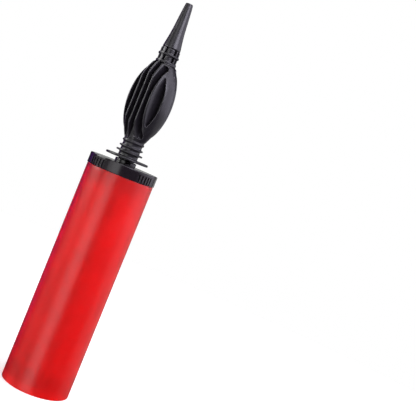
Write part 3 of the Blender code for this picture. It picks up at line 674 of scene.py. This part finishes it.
def make_rod():
    """The hollow rod: an O-ring groove near its top, a collar on the piston and ports under it."""
    collar = ROD_HIGH.x
    collar_high = ROD_COLLAR_LOW + ROD_COLLAR
    seal_low = middle_of("rod_socket_seal") - ROD_SEAL_GROOVE_HALF
    seal_high = middle_of("rod_socket_seal") + ROD_SEAL_GROOVE_HALF
    seal_floor = ROD_RADIUS - ROD_SEAL_GROOVE_DEPTH
    outline = rounded([
        (ROD_RADIUS, ROD_HIGH.z, BROAD_EDGE),
        (ROD_RADIUS, seal_high, FINE_EDGE),
        (seal_floor, seal_high, 0),
        (seal_floor, seal_low, 0),
        (ROD_RADIUS, seal_low, FINE_EDGE),
        (ROD_RADIUS, collar_high + ROD_COLLAR_SLOPE, BROAD_EDGE),
        (collar, collar_high, SOFT_EDGE),
        (collar, ROD_COLLAR_LOW, SOFT_EDGE),
        (ROD_RADIUS, ROD_COLLAR_LOW, 0),
        (ROD_RADIUS, ROD_LOW.z, ROUND_EDGE),
        (ROD_BORE, ROD_LOW.z, SOFT_EDGE),
        (ROD_BORE, ROD_HIGH.z, SOFT_EDGE),
    ])
    rod = lathe("rod_tube", outline, evenly(MEDIUM))
    height = Vector((0, 0, PORT_HEIGHT))
    ports = []
    for i in range(PORTS):
        angle = math.pi / 4 + i * math.pi / 2
        out = Vector((math.cos(angle), math.sin(angle), 0))
        ports.append((out * (ROD_BORE - OVERRUN) + height, out * (ROD_RADIUS + OVERRUN) + height))
    combine(rod, ("DIFFERENCE", rods("ports", ports, PORT_RADIUS)))
    return piece(rod, "handle", BLACK, "black_plastic", "pump_rod")


# The outline of the grip is one arc through its widest point and both ends.
SAGITTA = GRIP_RADIUS - GRIP_END_RADIUS
GRIP_ARC = (GRIP_HALF_LENGTH**2 + SAGITTA**2) / (2 * SAGITTA)


def grip_radius(height):
    """The grip's outline radius at a height from its middle."""
    return GRIP_RADIUS - GRIP_ARC + math.sqrt(GRIP_ARC**2 - height**2)


def grip_reach(radius):
    """How far above the middle the grip's outline falls to a radius."""
    drop = GRIP_RADIUS - radius
    return math.sqrt(max(GRIP_ARC**2 - (GRIP_ARC - drop) ** 2, 0))


def grip_outline():
    """The grip's turned outline, from its nozzle spigot down to the guard disc."""
    seal_low = middle_of("nozzle_seal") - NOZZLE_SEAL_GROOVE_HALF
    seal_high = middle_of("nozzle_seal") + NOZZLE_SEAL_GROOVE_HALF
    seal_floor = SPIGOT_RADIUS - NOZZLE_SEAL_GROOVE_DEPTH
    shoulder = NOZZLE_LOW.z - GAP
    corners = [
        (0, GRIP_HIGH.z, 0),
        (SPIGOT_RADIUS, GRIP_HIGH.z, ROUND_EDGE),
        (SPIGOT_RADIUS, seal_high, 0),
        (seal_floor, seal_high, 0),
        (seal_floor, seal_low, 0),
        (SPIGOT_RADIUS, seal_low, 0),
        (SPIGOT_RADIUS, shoulder, 0),
        (UPPER_NECK_RADIUS, shoulder, ROUND_EDGE),
    ]
    for height, radius in reversed(UPPER_RINGS):
        corners += ring_corners(height, radius, UPPER_NECK_RADIUS, UPPER_RING_THICKNESS)
    top = UPPER_RINGS[0][0] - UPPER_RING_THICKNESS / 2
    bottom = LOWER_RINGS[-1][0] + RING_THICKNESS / 2
    for i in range(1, GRIP_STEPS):
        height = top + (bottom - top) * i / GRIP_STEPS
        corners.append((max(grip_radius(height - GRIP_MIDDLE), LOWER_NECK_RADIUS), height, 0))
    for height, radius in reversed(LOWER_RINGS):
        corners += ring_corners(height, radius, LOWER_NECK_RADIUS, RING_THICKNESS)
    half = DISC_THICKNESS / 2
    corners += [
        (LOWER_NECK_RADIUS, DISC_HEIGHT + half, ROUND_EDGE),
        (DISC_RADIUS, DISC_HEIGHT + half, BOLD_EDGE),
        (DISC_RADIUS, DISC_HEIGHT - half, BOLD_EDGE),
        (0, DISC_HEIGHT - half, 0),
    ]
    return rounded(corners)


def ring_corners(height, radius, root, thickness):
    """One ring round a neck, from its top to its bottom."""
    half = thickness / 2
    return [
        (root, height + half, SOFT_EDGE),
        (radius, height + half, BROAD_EDGE),
        (radius, height - half, BROAD_EDGE),
        (root, height - half, SOFT_EDGE),
    ]


def pocket_outline(low, high, limit):
    """One pocket between two fins: its ends follow the grip's outline inside its skin, with round corners."""
    across = [low + (high - low) * i / POCKET_STEPS for i in range(POCKET_STEPS + 1)]
    ends = [min(grip_reach(x + SKIN), limit) for x in across]
    fillets = [POCKET_ROUND, *[0] * (POCKET_STEPS - 1), POCKET_ROUND]
    upper = [(x, POCKET_MIDDLE + z, f) for x, z, f in zip(across, ends, fillets)]
    lower = [(x, POCKET_MIDDLE - z, f) for x, z, f in zip(across, ends, fillets)]
    return rounded(upper + lower[::-1])


def lens_outline(low, high):
    """The outermost pocket: straight along the last fin and an arc along the skin."""
    depth = high - low
    radius = (LENS_HALF_LENGTH**2 + depth**2) / (2 * depth)
    heights = [LENS_HALF_LENGTH * (2 * i / LENS_STEPS - 1) for i in range(LENS_STEPS + 1)]
    return [(high - radius + math.sqrt(radius**2 - z**2), GRIP_MIDDLE + z) for z in heights]


def lens_pocket():
    """The outermost pocket on the +X side."""
    return lens_outline(2 * FIN_PITCH + FIN_THICKNESS / 2, GRIP_RADIUS - LENS_SKIN)


def join_rings(bm, rings):
    """Joins rings that have as many points as each other into one closed body."""
    bm.faces.new(rings[0])
    for before, after in zip(rings, rings[1:]):
        for i in range(len(before)):
            k = (i + 1) % len(before)
            bm.faces.new((before[i], before[k], after[k], after[i]))
    bm.faces.new(rings[-1])


def rims():
    """A cutter that squares off the thin edges where the outermost pockets meet the round skin."""
    sections = []
    for x, z in lens_pocket():
        height = z - GRIP_MIDDLE
        inner = x - RIM / 2
        outer = x + RIM * (1 - (height / LENS_HALF_LENGTH) ** 2)
        near = math.sqrt(grip_radius(height) ** 2 - outer**2)
        far = 2 * GRIP_RADIUS
        sections.append(((inner, near, z), (outer, near, z), (outer, far, z), (inner, far, z)))
    bm = bmesh.new()
    for side in (-1, 1):
        for face in (-1, 1):
            rings = [[bm.verts.new((side * x, face * y, z)) for x, y, z in ring] for ring in sections]
            join_rings(bm, rings)
    return finished("rims", bm)


def pocket_outlines():
    """Every pocket on one face of the grip."""
    half = FIN_THICKNESS / 2
    outlines = [
        pocket_outline(i * FIN_PITCH + half, (i + 1) * FIN_PITCH - half, limit)
        for i, limit in enumerate(POCKET_LIMITS)
    ]
    outlines.append(lens_pocket())
    return outlines + [[(-x, z) for x, z in outline] for outline in outlines]


def window_boxes():
    """The eight windows in each of the two rows round the upper neck."""
    half = UPPER_RING_THICKNESS / 2
    low_ring, high_ring = (height for height, _ in UPPER_RINGS)
    rows = ((low_ring + half, high_ring - half), (high_ring + half, NOZZLE_LOW.z + OVERRUN))
    return [
        (
            (WINDOW_FLOOR, -WINDOW_WIDTH / 2, low),
            (WINDOW_REACH, WINDOW_WIDTH / 2, high),
            quarter * math.pi / 2 + side * WINDOW_OFFSETS[quarter % 2],
        )
        for low, high in rows
        for quarter in range(QUARTERS)
        for side in (-1, 1)
    ]


def make_grip():
    """The grip: a turned body cut by flats, pockets and windows round a core that carries the air."""
    grip = lathe("grip_body", grip_outline(), evenly(FINE))
    body_low = GRIP_MIDDLE - GRIP_HALF_LENGTH + FLATS_INSET
    body_high = GRIP_MIDDLE + GRIP_HALF_LENGTH - FLATS_INSET
    flats = boxes("flats", [
        ((-FAR, -FAR, body_low), (FAR, -GRIP_FRONT, body_high), 0),
        ((-FAR, GRIP_FRONT, body_low), (FAR, FAR, body_high), 0),
    ])
    half_web = WEB_THICKNESS / 2
    front = prism("front_pockets", pocket_outlines(), -FAR, -half_web)
    back = prism("back_pockets", pocket_outlines(), half_web, FAR)
    socket = LOWER_NECK_RADIUS - CLOSE_GAP
    core_low = LOWER_RINGS[0][0]
    core = lathe(
        "core",
        [
            (0, NOZZLE_LOW.z),
            (CORE_TOP_RADIUS, NOZZLE_LOW.z),
            (CORE_RADIUS, CORE_TAPER_LOW),
            (CORE_RADIUS, CORE_FLARE[1]),
            (socket, CORE_FLARE[0]),
            (socket, core_low),
            (0, core_low),
        ],
        evenly(SMALL),
    )
    windows = boxes("windows", window_boxes())
    socket_bore = ROD_RADIUS + RUNNING_GAP
    socket_top = ROD_HIGH.z + GAP
    bore = lathe(
        "bore",
        [
            (0, GRIP_HIGH.z + OVERRUN),
            (AIR_BORE, GRIP_HIGH.z + OVERRUN),
            (AIR_BORE, AIR_BORE_FLARE),
            (ROD_BORE, socket_top),
            (socket_bore, socket_top),
            (socket_bore, GRIP_LOW.z - OVERRUN),
            (0, GRIP_LOW.z - OVERRUN),
        ],
        evenly(SMALL),
    )
    combine(
        grip,
        ("DIFFERENCE", flats),
        ("DIFFERENCE", front),
        ("DIFFERENCE", back),
        ("DIFFERENCE", rims()),
        ("UNION", core),
        ("DIFFERENCE", windows),
        ("DIFFERENCE", bore),
    )
    soften(grip)
    return piece(grip, "handle", BLACK, "black_plastic", "grip")


def make_nozzle():
    """The tapered nozzle with its bore, pushed over the grip's spigot."""
    socket = SPIGOT_RADIUS + RUNNING_GAP
    top = NOZZLE_HIGH.z
    outline = rounded([
        (NOZZLE_OUTLET, top, ROUND_EDGE),
        (NOZZLE_TIP_RADIUS, top, NOZZLE_TIP_ROUND),
        (NOZZLE_POINT_RADIUS, top - NOZZLE_POINT_LENGTH, NOZZLE_POINT_ROUND),
        (NOZZLE_KINK_RADIUS, NOZZLE_KINK, NOZZLE_KINK_ROUND),
        (NOZZLE_BASE_RADIUS, NOZZLE_LOW.z + NOZZLE_FOOT, ROUND_EDGE),
        (NOZZLE_BASE_RADIUS - NOZZLE_FOOT_STEP, NOZZLE_LOW.z, EDGE),
        (socket, NOZZLE_LOW.z, SOFT_EDGE),
        (socket, GRIP_HIGH.z + GAP, ROUND_EDGE),
        (NOZZLE_KINK_RADIUS - NOZZLE_WALL, NOZZLE_KINK, NOZZLE_BORE_ROUND),
        (NOZZLE_OUTLET, top - NOZZLE_OUTLET_LENGTH, NOZZLE_OUTLET_ROUND),
    ], steps=NOZZLE_FILLET_STEPS)
    nozzle = lathe("nozzle_cone", outline, evenly(MEDIUM))
    return piece(nozzle, "handle", BLACK, "black_plastic", "nozzle")


def paint_inner_parts():
    """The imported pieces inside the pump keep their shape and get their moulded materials."""
    natural = moulded(
        "natural_nylon",
        (0.60, 0.58, 0.53),
        (0.53, 0.51, 0.45),
        (0.36, 0.50),
        0.008 * MM,
        0.004 * MM,
    )
    rubber = moulded(
        "black_rubber",
        (0.012, 0.012, 0.013),
        (0.018, 0.018, 0.018),
        (0.55, 0.75),
        0.012 * MM,
        0.002 * MM,
    )
    by_material = {
        BLACK: ("intake_valve_pin",),
        rubber: (
            "cap_gasket",
            "cap_valve_ring",
            "intake_flap",
            "stroke_bumper",
            "piston_seal_ring",
            "rod_socket_seal",
            "nozzle_seal",
        ),
        natural: ("cap_valve_retainer", "piston_base", "piston_top_plate", "rod_end_plug"),
        steel(): ("piston_snap_ring",),
    }
    for material, names in by_material.items():
        for name in names:
            paint(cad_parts[name], material)


# Studio

# The camera's place, from the pump's axis, and how it is aimed
VIEW_TURN = math.radians(42.6)
VIEW_DISTANCE = 0.6
VIEW_HEIGHT = 0.187
VIEW_YAW = math.radians(6.17)
VIEW_PITCH = math.radians(1.98)
VIEW_ROLL = math.radians(22.31)
LENS = 73.5
SENSOR_WIDTH = 36
CLIP_START = 0.01

TO_CAMERA = Vector((math.sin(VIEW_TURN), -math.cos(VIEW_TURN), 0))
TO_RIGHT = Vector((math.cos(VIEW_TURN), math.sin(VIEW_TURN), 0))
UP = Vector((0, 0, 1))


def make_camera():
    """The camera, level with the pump's upper part, turned, tipped and rolled to aim."""
    forward = -TO_CAMERA * math.cos(VIEW_YAW) + TO_RIGHT * math.sin(VIEW_YAW)
    right = TO_RIGHT * math.cos(VIEW_YAW) + TO_CAMERA * math.sin(VIEW_YAW)
    aim = forward * math.cos(VIEW_PITCH) - UP * math.sin(VIEW_PITCH)
    up = UP * math.cos(VIEW_PITCH) + forward * math.sin(VIEW_PITCH)
    rolled_right = right * math.cos(VIEW_ROLL) + up * math.sin(VIEW_ROLL)
    rolled_up = up * math.cos(VIEW_ROLL) - right * math.sin(VIEW_ROLL)
    data = bpy.data.cameras.new("camera")
    data.sensor_width = SENSOR_WIDTH
    data.lens = LENS
    data.clip_start = CLIP_START
    camera = bpy.data.objects.new("camera", data)
    place = Matrix((rolled_right, rolled_up, -aim)).transposed().to_4x4()
    place.translation = TO_CAMERA * VIEW_DISTANCE + UP * VIEW_HEIGHT
    camera.matrix_world = place
    bpy.context.scene.collection.objects.link(camera)
    bpy.context.scene.camera = camera


# The backdrop as it lights the pump, and as it shows through translucent plastic
WORLD_FILL = 0.1
THROUGH_GLOW = 10.5

# The floor
FLOOR_RADIUS = 0.8
FLOOR_SIDES = 96
FLOOR_COLOUR = (0.93, 0.93, 0.93, 1)
FLOOR_ROUGHNESS = 0.9
FLOOR_GLOW = 0.45

# The round light overhead
TOP_HEIGHT = 1.5
TOP_WIDTH = 1.2
TOP_RADIANCE = 2.4

# Softboxes: name, turn from the camera to its right and width in degrees, lowest and highest edge in
# metres, radiance and colour. The second group adds sheen alone.
LIGHT_DISTANCE = 1.2
WHITE = (1, 1, 1)
COOL = (0.93, 0.90, 1.05)
VIOLET = (0.5, 0.1, 1.0)
LIGHTS = (
    ("key", -28, 39, -0.6, 0.9, 1.25, WHITE),
    ("key_core", -22, 24, -0.6, 0.9, 0.55, WHITE),
    ("wide_left", -77, 58, -0.4, 0.12, 0.38, WHITE),
    ("high", 38, 44, 0.5, 1.0, 7.5, COOL),
    ("right_low", 115, 70, -0.4, 0.12, 0.42, WHITE),
    ("right_high", 95, 70, 0.12, 0.9, 1.6, COOL),
    ("right_top", 75, 60, 0.9, 2.0, 2.4, COOL),
    ("back", 165, 40, 0.1, 0.4, 0.6, WHITE),
    ("rim", -130, 30, -0.3, 0.9, 0.3, VIOLET),
)
SHEEN_LIGHTS = (
    ("side", -85, 36, 0.22, 0.5, 9.0, WHITE),
    ("side_top", -112, 60, 0.95, 2.0, 6.0, WHITE),
    ("side_low", -112, 60, -1.6, -0.7, 3.0, WHITE),
    ("front_top", 5, 60, 1.2, 2.6, 4.5, COOL),
    ("front_low", 5, 60, -2.4, -1.0, 2.0, WHITE),
)


def softbox(name, turn, width, low, high, radiance, colour, diffuse=True):
    """A rectangular light that faces the pump's axis. One without diffuse adds sheen alone."""
    turn = math.radians(turn)
    out = TO_CAMERA * math.cos(turn) + TO_RIGHT * math.sin(turn)
    data = bpy.data.lights.new(name, "AREA")
    data.shape = "RECTANGLE"
    data.size = 2 * LIGHT_DISTANCE * math.tan(math.radians(width) / 2)
    data.size_y = high - low
    data.energy = radiance * math.pi * data.size * data.size_y
    data.color = colour
    light = bpy.data.objects.new(name, data)
    middle = out * LIGHT_DISTANCE + UP * (low + high) / 2
    light.visible_transmission = False
    light.visible_diffuse = diffuse
    light.matrix_world = Matrix.Translation(middle) @ out.to_track_quat("Z", "Y").to_matrix().to_4x4()
    bpy.context.scene.collection.objects.link(light)


def make_studio():
    """A white backdrop, the lights and a pale floor."""
    world = bpy.data.worlds.new("studio")
    bpy.context.scene.world = world
    world.use_nodes = True
    tree = world.node_tree
    background = tree.nodes["Background"]
    background.inputs["Color"].default_value = (1, 1, 1, 1)
    ray = node(tree, "ShaderNodeLightPath")
    strength = node(
        tree,
        "ShaderNodeMapRange",
        {"Value": ray.outputs["Is Camera Ray"], "To Min": WORLD_FILL, "To Max": 1.0},
    )
    through = node(
        tree,
        "ShaderNodeMath",
        {0: ray.outputs["Is Transmission Ray"], 1: THROUGH_GLOW, 2: strength.outputs["Result"]},
        operation="MULTIPLY_ADD",
    )
    tree.links.new(through.outputs[0], background.inputs["Strength"])
    world.cycles_visibility.glossy = False
    for light in LIGHTS:
        softbox(*light)
    for light in SHEEN_LIGHTS:
        softbox(*light, diffuse=False)
    top = bpy.data.lights.new("top", "AREA")
    top.shape = "DISK"
    top.size = TOP_WIDTH
    top.energy = TOP_RADIANCE * math.pi * math.pi * TOP_WIDTH**2 / 4
    overhead = bpy.data.objects.new("top", top)
    overhead.location = (0, 0, TOP_HEIGHT)
    bpy.context.scene.collection.objects.link(overhead)

    bm = bmesh.new()
    bmesh.ops.create_circle(bm, cap_ends=True, segments=FLOOR_SIDES, radius=FLOOR_RADIUS)
    floor = finished("floor", bm)
    pale = bpy.data.materials.new("floor_paper")
    pale.use_nodes = True
    shader = pale.node_tree.nodes["Principled BSDF"]
    shader.inputs["Base Color"].default_value = FLOOR_COLOUR
    shader.inputs["Roughness"].default_value = FLOOR_ROUGHNESS
    shader.inputs["Specular IOR Level"].default_value = 0.0
    shader.inputs["Emission Color"].default_value = (1, 1, 1, 1)
    shader.inputs["Emission Strength"].default_value = FLOOR_GLOW
    paint(floor, pale)
    floor.visible_glossy = False
    floor.visible_shadow = False
    bpy.context.scene.view_settings.view_transform = "Standard"


RED = red_plastic()
# The edge colours below are painted highlights on the black plastics' convex corners.
BLACK = moulded(
    "black_satin_plastic",
    (0.0095, 0.0080, 0.0110),
    (0.0125, 0.0108, 0.0140),
    (0.27, 0.36),
    0.006 * MM,
    0.006 * MM,
    edge_highlight=(0.200, 0.185, 0.215),
)
GLOSS_BLACK = moulded(
    "black_gloss_plastic",
    (0.0085, 0.0060, 0.0085),
    (0.0110, 0.0080, 0.0110),
    (0.16, 0.23),
    0.004 * MM,
    0.006 * MM,
    edge_highlight=(0.240, 0.220, 0.250),
)

make_camera()
make_barrel()
make_cap()
make_hub()
make_rod()
make_grip()
make_nozzle()
paint_inner_parts()
make_studio()
